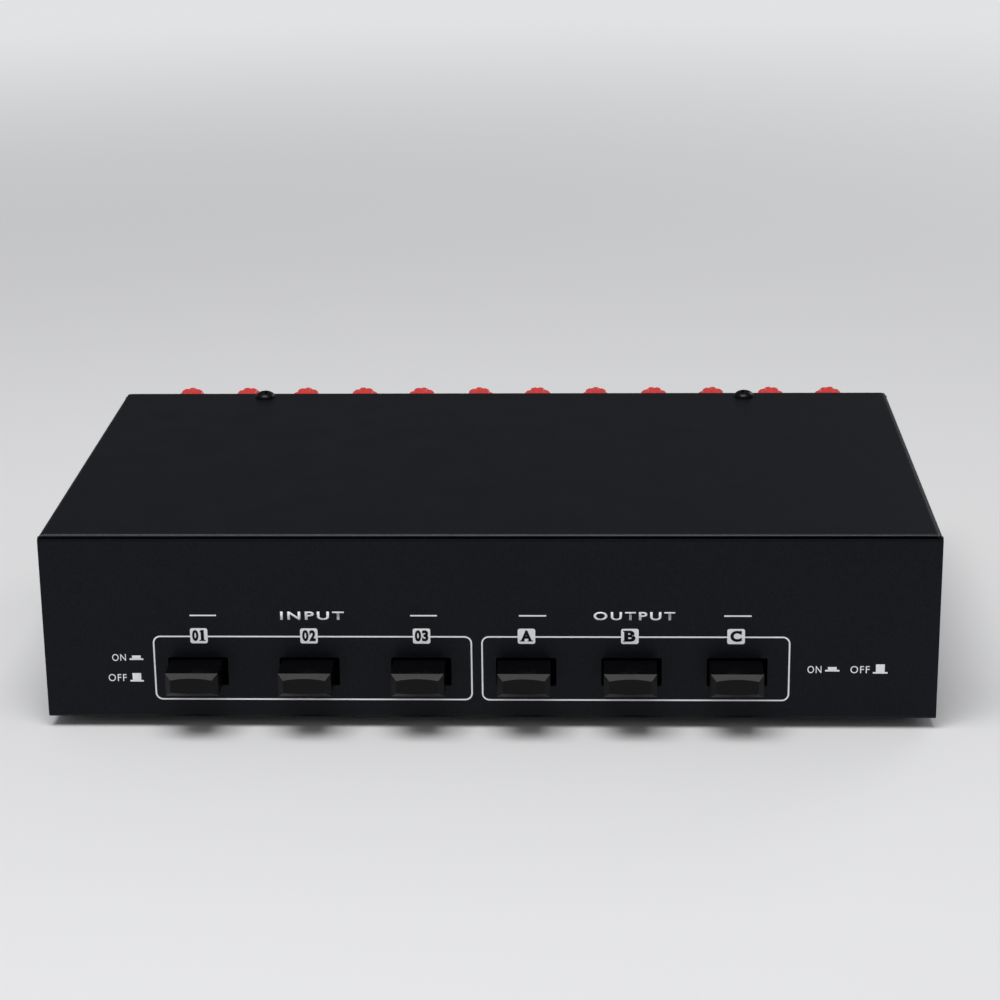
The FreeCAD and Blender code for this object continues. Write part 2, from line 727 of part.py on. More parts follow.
def solder_joint():
    """A cone of solder round the stud, on the terminal board's inner face."""
    seat = f"-({NUT_FACE} + board_thickness)"
    return turned("solder_joint", "XY_Plane", [
        ("stud_radius + post_gap", f"{seat} - solder_height"),
        ("solder_tip_radius", f"{seat} - solder_height"),
        ("solder_radius", seat),
        ("stud_radius + post_gap", seat),
    ])


def tangent_path(points):
    """Straight runs through points, joined by arcs as large as the shorter run allows."""
    edges = []
    last = points[0]
    for before, corner, after in zip(points, points[1:], points[2:]):
        back = before - corner
        ahead = after - corner
        reach = ARC_SHARE * min(back.Length, ahead.Length)
        back.normalize()
        ahead.normalize()
        half_angle = back.getAngle(ahead) / 2
        radius = reach * math.tan(half_angle)
        bisector = back + ahead
        bisector.normalize()
        centre = corner + bisector * (reach / math.cos(half_angle))
        entry = corner + back * reach
        leave = corner + ahead * reach
        edges.append(Part.LineSegment(last, entry).toShape())
        edges.append(Part.Arc(entry, centre - bisector * radius, leave).toShape())
        last = leave
    edges.append(Part.LineSegment(last, points[-1]).toShape())
    return Part.Wire(edges)


def hookup_wire(number, side):
    """One wire from the terminal board to a switch, on the left or right of its set of posts."""
    pair = f"({FIRST_POST} + {2 * number + 0.5} * post_pitch)"
    start_x = f"{pair} {side} wire_spread"
    end_x = f"{button_x(number)} {side} wire_spread"
    start_z = f"{LOWER_ROW} + post_row_gap / 2 {side} wire_spread"
    end_y = f"{BOARD_REAR} - board_margin_rear / 2"
    route = [
        (start_x, TERMINAL_FRONT, start_z),
        (start_x, f"{TERMINAL_FRONT} - wire_straight", start_z),
        (end_x, end_y, f"{BOARD_TOP} + wire_drop"),
        (end_x, end_y, BOARD_TOP),
    ]
    points = [Vector(*(value(text) for text in place)) for place in route]
    path = tangent_path(points)
    radius = value("wire_radius")
    section = Part.Wire(Part.Circle(points[0], points[1] - points[0], radius).toShape())
    wire = doc.addObject("Part::Feature", f"wire_{number + 1}")
    wire.Shape = path.makePipeShell([section], True, False)
    expected = math.pi * radius ** 2 * path.Length
    print(f"wire {number + 1}: length {path.Length:.1f}, volume share {wire.Shape.Volume / expected:.5f}")
    return wire


def button_x(number):
    """The axis of one of the six buttons, from the left."""
    group_name = "input" if number < BUTTONS_IN_GROUP else "output"
    step = number % BUTTONS_IN_GROUP - 1
    return f"({group_name}_centre + {step} * {group_name}_pitch - cap_offset)"


def post_x(number):
    return f"({FIRST_POST} + {number} * post_pitch)"


def at_buttons(label, original):
    """A copy of a piece behind each button, as one group."""
    return group(label, [placed(f"{label}_{i + 1}", original, button_x(i), FRONT, BUTTON_Z)
                         for i in range(2 * BUTTONS_IN_GROUP)])


def at_posts(label, original, rows):
    """A copy of a piece at each post of the rows, as one group."""
    copies = [placed(f"{label}_{row_number + 1}_{i + 1}", original, post_x(i), REAR, height)
              for row_number, height in enumerate(rows) for i in range(POSTS_IN_ROW)]
    return group(label, copies)


def build():
    """Every sub-part that is written to a file of its own."""
    parts = [chassis_tray(), top_cover()]

    screw = pan_head_screw()
    lid = "foot_height + case_height"
    side = "foot_height + side_screw_height"
    screws = [placed(f"top_screw_{i}", screw, f"{sign}top_screw_span / 2", f"{REAR} - top_screw_inset", lid)
              for i, sign in enumerate("-+", 1)]
    for sign, angle in (("-", -90), ("+", 90)):
        for i, (y, _) in enumerate(side_screw_places(), 1):
            name = f"side_screw_{'left' if sign == '-' else 'right'}_{i}"
            screws.append(placed(name, screw, f"{sign}case_width / 2", y, side, Vector(0, 1, 0), angle))
    parts.append(group("cover_screws", screws))

    foot = rubber_foot()
    feet = [placed(f"foot_{a}{b}", foot, x, y, "0")
            for a, x in enumerate(("-case_width / 2 + foot_inset_side", "case_width / 2 - foot_inset_side"))
            for b, y in enumerate((f"{FRONT} + foot_inset_end", f"{REAR} - foot_inset_end"))]
    parts.append(group("rubber_feet", feet))

    cap = button_cap()
    rod = plunger()
    spring = return_spring()
    names = ["input_{}_1", "input_{}_2", "input_{}_3", "output_{}_a", "output_{}_b", "output_{}_c"]
    for i, name in enumerate(names):
        for piece, original in (("button", cap), ("plunger", rod), ("spring", spring)):
            parts.append(placed(name.format(piece), original, button_x(i), FRONT, BUTTON_Z))

    parts.append(at_buttons("switch_bodies", switch_body()))
    pin = switch_pin()
    pins = [placed(f"pin_{i}_{k}", pin, f"{button_x(i)} {x}", f"{FRONT} + {y}", BOARD_TOP)
            for i in range(2 * BUTTONS_IN_GROUP) for k, (x, y) in enumerate(pin_places())]
    parts.append(group("switch_pins", pins))
    parts.append(switch_board())
    pillar = standoff()
    floor = "foot_height + wall"
    parts.append(group("board_standoffs", [placed(f"standoff_{i}", pillar, x, y, floor)
                                           for i, (x, y) in enumerate(board_screw_places(), 1)]))
    parts.append(group("board_screws", [placed(f"board_screw_{i}", screw, x, y, BOARD_TOP)
                                        for i, (x, y) in enumerate(board_screw_places(), 1)]))
    parts.append(terminal_board())

    knob = post_knob()
    collar = post_collar()
    both_rows = (UPPER_ROW, LOWER_ROW)
    for colour, height in (("red", UPPER_ROW), ("black", LOWER_ROW)):
        for i in range(POSTS_IN_ROW):
            parts.append(placed(f"{colour}_knob_{i + 1:02d}", knob, post_x(i), REAR, height))
        parts.append(at_posts(f"{colour}_collars", collar, (height,)))
    parts.append(at_posts("post_stems", post_stem(), both_rows))
    parts.append(at_posts("inner_washers", inner_washer(), both_rows))
    parts.append(at_posts("stem_nuts", stem_nut(), both_rows))
    parts.append(at_posts("solder_joints", solder_joint(), both_rows))
    for colour, side in (("red", "+"), ("black", "-")):
        wires = [hookup_wire(i, side) for i in range(2 * BUTTONS_IN_GROUP)]
        parts.append(group(f"{colour}_wires", wires))
    return parts


def check(parts):
    """Stop if a feature failed, or a sub-part's shape is missing or not sound."""
    for item in doc.Objects:
        if "Invalid" in item.State or "Error" in item.State:
            raise RuntimeError(f"{item.Name} failed: {item.State}")
    for item in parts:
        shape = Part.getShape(item)
        if shape.isNull() or not shape.isValid():
            raise RuntimeError(f"{item.Label} has no sound shape")


parts = build()
doc.recompute()
check(parts)
os.makedirs("parts", exist_ok=True)
for item in parts:
    Part.getShape(item).exportStep(os.path.join("parts", f"{item.Label}.step"))
print(f"{len(parts)} sub-parts written")
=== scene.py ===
"""A speaker selector switch: a black steel box with six push buttons and 24 binding posts."""

import math

import bmesh
import bpy
from mathutils import Matrix, Vector


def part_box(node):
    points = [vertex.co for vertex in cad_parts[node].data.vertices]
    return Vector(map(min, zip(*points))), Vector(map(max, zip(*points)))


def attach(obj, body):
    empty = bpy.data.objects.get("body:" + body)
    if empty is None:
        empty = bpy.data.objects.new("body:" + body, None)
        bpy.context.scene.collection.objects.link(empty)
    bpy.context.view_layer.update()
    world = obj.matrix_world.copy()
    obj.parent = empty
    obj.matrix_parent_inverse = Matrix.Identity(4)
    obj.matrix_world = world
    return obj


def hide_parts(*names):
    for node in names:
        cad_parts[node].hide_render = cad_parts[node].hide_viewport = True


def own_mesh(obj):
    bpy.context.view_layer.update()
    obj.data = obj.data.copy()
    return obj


bl_info = {
    "name": "Speaker selector switch",
    "version": (1, 0, 0),
    "blender": (4, 5, 0),
    "location": "View3D > Sidebar > Selector",
    "description": "Dresses a speaker selector switch with its finishes, print and caps",
    "category": "Object",
}

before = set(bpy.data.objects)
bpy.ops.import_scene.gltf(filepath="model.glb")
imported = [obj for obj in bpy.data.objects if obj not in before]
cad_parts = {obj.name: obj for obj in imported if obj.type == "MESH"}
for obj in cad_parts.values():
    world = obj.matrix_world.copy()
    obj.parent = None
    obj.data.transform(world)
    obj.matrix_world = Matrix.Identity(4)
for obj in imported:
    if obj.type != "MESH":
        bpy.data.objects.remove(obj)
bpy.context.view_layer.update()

MM = 0.001
BUTTONS = ("input_button_1", "input_button_2", "input_button_3",
           "output_button_a", "output_button_b", "output_button_c")
SPRINGS = tuple(name.replace("button", "spring") for name in BUTTONS)
KEYS = ("input_key_1", "input_key_2", "input_key_3", "output_key_a", "output_key_b", "output_key_c")
POSTS_IN_ROW = 12

# The backdrop's colour, and its strength as the camera sees it, as light and in reflections
BACKDROP = "#F1F2F4"
BACKDROP_SEEN = 0.86
BACKDROP_LIGHT = 0.34
BACKDROP_MIRRORED = 0.12

# Where the case lies, from the frame
COVER_LOW, COVER_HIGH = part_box("top_cover")
TRAY_LOW, TRAY_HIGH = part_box("chassis_tray")
FRONT_Y = TRAY_LOW.y
REAR_Y = TRAY_HIGH.y
CASE_Z = TRAY_LOW.z
CASE_TOP = COVER_HIGH.z


class SelectorSizes(bpy.types.PropertyGroup):
    """Sizes of the dressing, in metres"""

    sheet_edge: bpy.props.FloatProperty(
        name="Sheet edge", description="Rounding of the coated sheet's cut edges",
        default=0.22 * MM, unit="LENGTH")
    lid_rim: bpy.props.FloatProperty(
        name="Lid rim", description="Rounding of the lid's front and rear rims, where coat builds up",
        default=0.95 * MM, unit="LENGTH")
    plastic_edge: bpy.props.FloatProperty(
        name="Plastic edge", description="Rounding of a moulded cap's edges",
        default=0.16 * MM, unit="LENGTH")
    cap_bevel: bpy.props.FloatProperty(
        name="Cap bevel", description="Width of the bevel round a button's front",
        default=1.5 * MM, unit="LENGTH")
    cap_dish: bpy.props.FloatProperty(
        name="Cap dish", description="Depth of the hollow in a button's front",
        default=0.42 * MM, unit="LENGTH")
    knob_edge: bpy.props.FloatProperty(
        name="Knob edge", description="Rounding of a screw cap's lobes",
        default=0.22 * MM, unit="LENGTH")
    knob_round: bpy.props.FloatProperty(
        name="Knob end", description="Rounding of a screw cap's outer end",
        default=1.8 * MM, unit="LENGTH")
    print_height: bpy.props.FloatProperty(
        name="Print height", description="How far the screen print stands proud of the coat",
        default=0.03 * MM, unit="LENGTH")


class SelectorColours(bpy.types.PropertyGroup):
    """Colours of the finishes, as sRGB hex values"""

    coat: bpy.props.StringProperty(
        name="Powder coat", description="Black textured powder coat, on its peaks", default="#14161C")
    coat_shade: bpy.props.StringProperty(
        name="Powder coat shade", description="The same coat in its pores", default="#0B0D12")
    ink: bpy.props.StringProperty(
        name="Print", description="White screen-print ink", default="#F4F6F8")
    key: bpy.props.StringProperty(
        name="Button", description="Black moulded button plastic", default="#0A0A0C")
    red: bpy.props.StringProperty(
        name="Red cap", description="Red moulded screw caps", default="#F53B38")
    black: bpy.props.StringProperty(
        name="Black cap", description="Black moulded screw caps", default="#141416")
    floor: bpy.props.StringProperty(
        name="Floor", description="Pale studio floor", default="#E9E9EA")


def linear(hex_value):
    """An sRGB hex value as linear red, green, blue and a full alpha."""
    channels = [int(hex_value[i:i + 2], 16) / 255 for i in (1, 3, 5)]
    return [c / 12.92 if c <= 0.04045 else ((c + 0.055) / 1.055) ** 2.4 for c in channels] + [1.0]


def add_node(tree, kind, settings=(), links=()):
    """Adds one node: settings are attribute or input values by name, links are input to socket."""
    node = tree.nodes.new(kind)
    for name, setting in dict(settings).items():
        if isinstance(name, str) and hasattr(node, name):
            setattr(node, name, setting)
        else:
            node.inputs[name].default_value = setting
    for name, socket in dict(links).items():
        tree.links.new(socket, node.inputs[name])
    return node


def new_material(name, colour, roughness, metallic=0.0, **extra):
    """A material with its shader's plain values set; returns it with its tree and shader."""
    material = bpy.data.materials.new(name)
    material.use_nodes = True
    tree = material.node_tree
    shader = next(node for node in tree.nodes if node.type == "BSDF_PRINCIPLED")
    shader.inputs["Base Color"].default_value = linear(colour)
    shader.inputs["Roughness"].default_value = roughness
    shader.inputs["Metallic"].default_value = metallic
    for socket, setting in extra.items():
        shader.inputs[socket.replace("_", " ")].default_value = setting
    return material, tree, shader


def grain(tree, millimetres, detail=3.0, rough=0.6):
    """Noise on the piece's own coordinates whose grains are about that many millimetres wide."""
    place = add_node(tree, "ShaderNodeTexCoord")
    return add_node(tree, "ShaderNodeTexNoise",
                    {"Scale": 1 / (millimetres * MM), "Detail": detail, "Roughness": rough},
                    {"Vector": place.outputs["Object"]})


def ramp(tree, source, low, high, dark, light):
    """Maps a noise between two values to a span of grey."""
    return add_node(tree, "ShaderNodeMapRange",
                    {"From Min": low, "From Max": high, "To Min": dark, "To Max": light},
                    {"Value": source})


def bump(tree, shader, height, strength, millimetres):
    """Raises the surface by a pattern's height."""
    node = add_node(tree, "ShaderNodeBump", {"Strength": strength, "Distance": millimetres * MM},
                    {"Height": height})
    tree.links.new(node.outputs["Normal"], shader.inputs["Normal"])


def tint(tree, shader, factor, shade):
    """Mixes a darker shade by a pattern into the shader's own base colour."""
    node = add_node(tree, "ShaderNodeMix", {"data_type": "RGBA"}, {"Factor": factor})
    colours = [socket for socket in node.inputs if socket.type == "RGBA"]
    colours[0].default_value = linear(shade)
    colours[1].default_value = list(shader.inputs["Base Color"].default_value)
    mixed = next(socket for socket in node.outputs if socket.type == "RGBA")
    tree.links.new(mixed, shader.inputs["Base Color"])


def roughen(tree, shader, noise, low, high, smoothest):
    """Varies the roughness with a noise, from the smoothest up to the shader's own."""
    span = ramp(tree, noise, low, high, smoothest, shader.inputs["Roughness"].default_value)
    tree.links.new(span.outputs["Result"], shader.inputs["Roughness"])


def powder_coat(colours):
    """Polyester powder coat, sprayed and baked on steel: a fine orange peel with a low sheen."""
    material, tree, shader = new_material("textured_powder_coat", colours.coat, 0.41,
                                          Specular_IOR_Level=0.12)
    # The coat's peel is about 0.35 mm across; drawn a little coarser so that it shows
    peel = grain(tree, 0.45, 2.0, 0.55)
    blotch = grain(tree, 14.0, 2.0, 0.5)
    bump(tree, shader, peel.outputs["Fac"], 0.45, 0.05)
    roughen(tree, shader, blotch.outputs["Fac"], 0.3, 0.7, 0.36)
    spread = ramp(tree, peel.outputs["Fac"], 0.3, 0.7, 0.0, 1.0)
    tint(tree, shader, spread.outputs["Result"], colours.coat_shade)
    return material


def painted_highlight_rim_coat():
    """The same powder coat where it flowed together on a rounded rim: thicker, smoother, glossier. Its
    lighter colour is a painted highlight on the rim.
    """
    # Lighter than the coat's own colour: a painted highlight
    material, tree, shader = new_material("powder_coat_with_painted_rim_highlight", "#1E2026", 0.34,
                                          Specular_IOR_Level=0.32)
    # Grains of about 0.6 mm break up the highlight and the painted lighter colour, as the peel does on the
    # real rim
    peel = grain(tree, 0.6, 2.0, 0.6)
    bump(tree, shader, peel.outputs["Fac"], 0.6, 0.08)
    tint(tree, shader, peel.outputs["Fac"], "#121318")
    return material


def screen_print(colours):
    """Two-part ink pressed through a mesh: flat, slightly satin, with the coat's grain in it."""
    material, tree, shader = new_material("screen_print_ink", colours.ink, 0.55)
    bump(tree, shader, grain(tree, 0.3, 2.0).outputs["Fac"], 0.25, 0.02)
    return material


def moulded_key(colours):
    """Injection-moulded ABS from a finely eroded tool: a very fine grain with a satin shine."""
    material, tree, shader = new_material("moulded_abs_black", colours.key, 0.28,
                                          Specular_IOR_Level=0.13)
    fine = grain(tree, 0.12, 2.0)
    bump(tree, shader, fine.outputs["Fac"], 0.12, 0.02)
    roughen(tree, shader, grain(tree, 3.0).outputs["Fac"], 0.35, 0.65, 0.22)
    return material


def moulded_cap(name, colour, shade):
    """Polished-tool moulded plastic: glossy, with slight sink marks and a faint flow pattern."""
    material, tree, shader = new_material(name, colour, 0.24, Coat_Weight=0.25, Coat_Roughness=0.12)
    flow = grain(tree, 2.5, 2.0)
    band = ramp(tree, flow.outputs["Fac"], 0.3, 0.7, 0.0, 1.0)
    tint(tree, shader, band.outputs["Result"], shade)
    bump(tree, shader, flow.outputs["Fac"], 0.08, 0.06)
    return material


def turned_metal(name, colour, shade, roughness):
    """Plated turned brass: metal with the faint rings of the lathe round its axis along Y."""
    material, tree, shader = new_material(name, colour, roughness, 1.0)
    place = add_node(tree, "ShaderNodeTexCoord")
    # Rings a ninth of a millimetre wide along the axis, and next to no change round it
    ring = MM / 9
    stretch = add_node(tree, "ShaderNodeMapping", {"Scale": (60.0, 1 / ring, 60.0)},
                       {"Vector": place.outputs["Object"]})
    rings = add_node(tree, "ShaderNodeTexNoise", {"Scale": 1.0, "Detail": 2.0},
                     {"Vector": stretch.outputs["Vector"]})
    bump(tree, shader, rings.outputs["Fac"], 0.15, 0.02)
    band = ramp(tree, rings.outputs["Fac"], 0.35, 0.65, 0.0, 1.0)
    tint(tree, shader, band.outputs["Result"], shade)
    return material


def black_zinc():
    """Black chromated zinc on a cold-headed screw: dark, semi-gloss, unevenly coloured."""
    material, tree, shader = new_material("black_zinc_plate", "#2A2A2E", 0.32, 0.75)
    patch = grain(tree, 0.8, 3.0)
    tint(tree, shader, patch.outputs["Fac"], "#121214")
    bump(tree, shader, patch.outputs["Fac"], 0.15, 0.03)
    return material


def bright_zinc():
    """Clear zinc plate on steel screws and pins: pale, slightly blue metal."""
    material, tree, shader = new_material("bright_zinc_plate", "#CDD0D5", 0.34, 1.0)
    patch = grain(tree, 0.9, 3.0)
    tint(tree, shader, patch.outputs["Fac"], "#9DA1A8")
    return material


def rubber():
    """Moulded black rubber: matt, dusty, with a fine skin."""
    material, tree, shader = new_material("moulded_rubber", "#262625", 0.8)
    skin = grain(tree, 0.4, 3.0)
    bump(tree, shader, skin.outputs["Fac"], 0.3, 0.05)
    tint(tree, shader, grain(tree, 2.0).outputs["Fac"], "#171717")
    return material


def laminate():
    """Glass-fibre board under green solder mask: the weave shows faintly through it."""
    material, tree, shader = new_material("solder_masked_laminate", "#226239", 0.3)
    place = add_node(tree, "ShaderNodeTexCoord")
    thread = 0.9 * MM
    weave = add_node(tree, "ShaderNodeTexChecker", {"Scale": 1 / thread},
                     {"Vector": place.outputs["Object"]})
    tint(tree, shader, weave.outputs["Fac"], "#1B5330")
    bump(tree, shader, weave.outputs["Fac"], 0.1, 0.02)
    return material


def plain_moulding(name, colour, shade, roughness, width):
    """Unpolished moulded or pressed stuff inside the case: matt, with a mottled colour."""
    material, tree, shader = new_material(name, colour, roughness)
    mottle = grain(tree, width, 3.0)
    tint(tree, shader, mottle.outputs["Fac"], shade)
    bump(tree, shader, mottle.outputs["Fac"], 0.15, 0.04)
    return material


def backdrop_strength(tree):
    """The backdrop's brightness: pale where the camera sees it, dimmer as light and in reflections."""
    rays = add_node(tree, "ShaderNodeLightPath")
    lit = add_node(tree, "ShaderNodeMapRange", {"To Min": BACKDROP_LIGHT, "To Max": BACKDROP_MIRRORED},
                   {"Value": rays.outputs["Is Glossy Ray"]})
    return add_node(tree, "ShaderNodeMapRange", {"To Max": BACKDROP_SEEN},
                    {"Value": rays.outputs["Is Camera Ray"], "To Min": lit.outputs["Result"]})


def floor_paper(colours):
    """Matt studio paper with the object's shadow, which turns into the backdrop further away."""
    material, tree, shader = new_material("studio_paper", colours.floor, 0.9, Specular_IOR_Level=0.1)
    fade_start = 0.35
    fade_end = 1.5
    place = add_node(tree, "ShaderNodeTexCoord")
    reach = add_node(tree, "ShaderNodeVectorMath", {"operation": "LENGTH"},
                     {"Vector": place.outputs["Object"]})
    fade = add_node(tree, "ShaderNodeMapRange",
                    {"interpolation_type": "SMOOTHSTEP", "From Min": fade_start, "From Max": fade_end},
                    {"Value": reach.outputs["Value"]})
    glow = add_node(tree, "ShaderNodeEmission", {"Color": linear(BACKDROP)},
                    {"Strength": backdrop_strength(tree).outputs["Result"]})
    blend = add_node(tree, "ShaderNodeMixShader", {}, {"Fac": fade.outputs["Result"]})
    tree.links.new(shader.outputs["BSDF"], blend.inputs[1])
    tree.links.new(glow.outputs["Emission"], blend.inputs[2])
    tree.links.new(blend.outputs["Shader"], tree.nodes["Material Output"].inputs["Surface"])
    return material


def settings():
    """The sizes and the colours."""
    return bpy.context.scene.selector_sizes, bpy.context.scene.selector_colours


# What each finish is made by, and with what colours, shades and roughness
MAKERS = {
    "textured_powder_coat": lambda name, colours: powder_coat(colours),
    "powder_coat_with_painted_rim_highlight": lambda name, colours: painted_highlight_rim_coat(),
    "screen_print_ink": lambda name, colours: screen_print(colours),
    "moulded_abs_black": lambda name, colours: moulded_key(colours),
    "moulded_red_cap": lambda name, colours: moulded_cap(name, colours.red, "#E5302E"),
    "moulded_black_cap": lambda name, colours: moulded_cap(name, colours.black, "#0E0E10"),
    "plated_turned_brass": lambda name, colours: turned_metal(name, "#D9B56A", "#B58F48", 0.28),
    "black_zinc_plate": lambda name, colours: black_zinc(),
    "bright_zinc_plate": lambda name, colours: bright_zinc(),
    "moulded_rubber": lambda name, colours: rubber(),
    "solder_masked_laminate": lambda name, colours: laminate(),
    "vulcanised_fibre": lambda name, colours: plain_moulding(name, "#7A3B22", "#5F2C19", 0.7, 0.8),
    "natural_acetal": lambda name, colours: plain_moulding(name, "#E3E0D6", "#CFCBBE", 0.45, 1.5),
    "phenolic_housing": lambda name, colours: plain_moulding(name, "#2A2523", "#1C1918", 0.55, 0.7),
    "red_pvc_sleeve": lambda name, colours: plain_moulding(name, "#B01C18", "#8E1512", 0.4, 2.0),
    "black_pvc_sleeve": lambda name, colours: plain_moulding(name, "#161616", "#0E0E0E", 0.4, 2.0),
}


def finish_of(name):
    """A finish by its name; each is made once."""
    return bpy.data.materials.get(name) or MAKERS[name](name, settings()[1])


def wear_finish(piece, name):
    """The piece has this one finish all over."""
    piece.data.materials.clear()
    piece.data.materials.append(finish_of(name))


def only(piece):
    """Object mode, with this piece alone selected and active."""
    if bpy.context.mode != "OBJECT":
        bpy.ops.object.mode_set(mode="OBJECT")
    bpy.ops.object.select_all(action="DESELECT")
    piece.select_set(True)
    bpy.context.view_layer.objects.active = piece


def clear_selection():
    """Nothing is selected, so that what is added next is selected alone."""
    bpy.ops.object.select_all(action="DESELECT")


def settle(piece):
    """Puts the piece's place, turn and scale into its mesh."""
    only(piece)
    bpy.ops.object.transform_apply(location=True, rotation=True, scale=True)
    return piece


def modify(piece, kind, **values):
    """Adds a modifier and applies it."""
    only(piece)
    modifier = piece.modifiers.new(kind.lower(), kind)
    for name, setting in values.items():
        setattr(modifier, name, setting)
    bpy.ops.object.modifier_apply(modifier=modifier.name)


def carve(piece, cutter):
    """Cuts the cutter's shape out of the piece and takes the cutter away."""
    modify(piece, "BOOLEAN", operation="DIFFERENCE", object=cutter, solver="EXACT")
    bpy.data.objects.remove(cutter, do_unlink=True)


def join(pieces, name):
    """Several pieces as one object."""
    only(pieces[0])
    for piece in pieces[1:]:
        piece.select_set(True)
    bpy.ops.object.join()
    pieces[0].name = name
    return pieces[0]


def smooth(piece, degrees):
    """Smooth shading, but for edges sharper than the angle."""
    only(piece)
    bpy.ops.object.shade_smooth_by_angle(angle=math.radians(degrees))


def soften(piece, width, segments, degrees):
    """Rounds the sharp edges, as moulding, coating or tumbling leaves them."""
    modify(piece, "BEVEL", width=width, segments=segments, limit_method="ANGLE",
           angle_limit=math.radians(degrees), use_clamp_overlap=True)
    smooth(piece, 60)
    modify(piece, "WEIGHTED_NORMAL", keep_sharp=True)


def copy_at(original, name, offset):
    """A copy with its own mesh, moved by an offset."""
    piece = original.copy()
    piece.data = original.data.copy()
    piece.name = name
    bpy.context.scene.collection.objects.link(piece)
    piece.location = offset
    return settle(piece)


def block(name, low, high):
    """A box between two corners."""
    clear_selection()
    centre = [(a + b) / 2 for a, b in zip(low, high)]
    bpy.ops.mesh.primitive_cube_add(size=1, location=centre)
    piece = bpy.context.active_object
    piece.name = name
    piece.scale = [b - a for a, b in zip(low, high)]
    return settle(piece)


def rod(name, radius, start, end, centre, axis, vertices):
    """A cylinder along Y or Z from start to end; centre gives its other two coordinates."""
    clear_selection()
    middle = (start + end) / 2
    location = (centre[0], middle, centre[1]) if axis == "Y" else (centre[0], centre[1], middle)
    rotation = (math.pi / 2, 0, 0) if axis == "Y" else (0, 0, 0)
    bpy.ops.mesh.primitive_cylinder_add(vertices=vertices, radius=radius, depth=abs(end - start),
                                        location=location, rotation=rotation)
    piece = bpy.context.active_object
    piece.name = name
    return settle(piece)


def select_edges(piece, chosen):
    """Edit mode, with the edges selected whose two ends pass the test."""
    only(piece)
    bpy.ops.object.mode_set(mode="EDIT")
    bpy.ops.mesh.select_mode(type="EDGE")
    bpy.ops.mesh.select_all(action="DESELECT")
    mesh = bmesh.from_edit_mesh(piece.data)
    for edge in mesh.edges:
        edge.select = chosen(*(vertex.co for vertex in edge.verts))
    bmesh.update_edit_mesh(piece.data)


def object_mode():
    """Back from edit mode."""
    bpy.ops.object.mode_set(mode="OBJECT")


def ride_and_slot(piece, body, slot, *nodes):
    """Says what the piece moves with and which nodes it stands for; the slot is not used."""
    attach(piece, body)
    if nodes:
        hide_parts(*nodes)


def merged_copy(node, name):
    """A copy of a CAD node's mesh with its triangles merged into clean faces."""
    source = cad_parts[node]
    piece = source.copy()
    piece.data = source.data.copy()
    piece.name = name
    piece.parent = None
    piece.matrix_world = Matrix.Identity(4)
    for key in [key for key in piece.keys() if key.startswith("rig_")]:
        del piece[key]
    bpy.context.scene.collection.objects.link(piece)
    weld = 0.002 * MM
    flat = math.radians(0.5)
    only(piece)
    if piece.data.has_custom_normals:
        bpy.ops.mesh.customdata_custom_splitnormals_clear()
    bpy.ops.object.mode_set(mode="EDIT")
    bpy.ops.mesh.select_all(action="SELECT")
    bpy.ops.mesh.remove_doubles(threshold=weld)
    bpy.ops.mesh.dissolve_limited(angle_limit=flat)
    object_mode()
    return piece


def round_rims(piece, width):
    """Rounds the upper edge of the lid's front and rear ends, as far as the bends at its sides, and gives
    the rounding the second finish, which is painted lighter as a highlight.
    """
    near = 0.01 * MM
    rim_low = CASE_TOP - 0.25 * MM
    for end in (COVER_LOW.y, COVER_HIGH.y):
        select_edges(piece, lambda *ends: all(abs(point.y - end) < near and point.z > rim_low
                                              for point in ends))
        bpy.ops.mesh.bevel(offset=width, offset_type="OFFSET", segments=4, affect="EDGES")
        # The rounded faces take the second finish, whose lighter colour is a painted highlight
        for face in bmesh.from_edit_mesh(piece.data).faces:
            if face.select:
                face.material_index = 1
        bmesh.update_edit_mesh(piece.data)
        object_mode()


class SELECTOR_OT_case(bpy.types.Operator):
    """Coats the tray and the cover, with softened sheet edges"""

    bl_idname = "selector.case"
    bl_label = "Case"

    def execute(self, context):
        sizes = settings()[0]
        for node, name in (("top_cover", "coated_cover"), ("chassis_tray", "coated_tray")):
            piece = merged_copy(node, name)
            wear_finish(piece, "textured_powder_coat")
            if node == "top_cover":
                # The second finish is for the rims: the coat painted lighter, as a highlight
                piece.data.materials.append(finish_of("powder_coat_with_painted_rim_highlight"))
                round_rims(piece, sizes.lid_rim)
            soften(piece, sizes.sheet_edge, 2, 50)
            ride_and_slot(piece, "case", "black_powder_coat", node)
        return {"FINISHED"}


def shaped_key(low, high, sizes):
    """A button cap: a block with a bevelled front, hollowed by a wide cylinder."""
    near = 0.001 * MM
    piece = block("key_blank", low, high)
    select_edges(piece, lambda *ends: all(abs(point.y - low.y) < near for point in ends))
    bpy.ops.mesh.bevel(offset=sizes.cap_bevel, offset_type="OFFSET", segments=1, affect="EDGES")
    object_mode()
    chord = high.x - low.x - 2 * sizes.cap_bevel
    radius = chord ** 2 / (8 * sizes.cap_dish) + sizes.cap_dish / 2
    middle = ((low.x + high.x) / 2, low.y + sizes.cap_dish - radius)
    carve(piece, rod("dish_cutter", radius, low.z - MM, high.z + MM, middle, "Z", 720))
    soften(piece, sizes.plastic_edge, 3, 24)
    return piece


class SELECTOR_OT_buttons(bpy.types.Operator):
    """Six moulded button caps with a bevelled, hollowed front"""

    bl_idname = "selector.buttons"
    bl_label = "Buttons"

    def execute(self, context):
        sizes = settings()[0]
        first_low, first_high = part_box(BUTTONS[0])
        master = shaped_key(first_low, first_high, sizes)
        wear_finish(master, "moulded_abs_black")
        for node, body in zip(BUTTONS, KEYS):
            piece = copy_at(master, f"moulded_{node}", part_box(node)[0] - first_low)
            ride_and_slot(piece, body, "button_plastic", node)
        bpy.data.objects.remove(master, do_unlink=True)
        return {"FINISHED"}


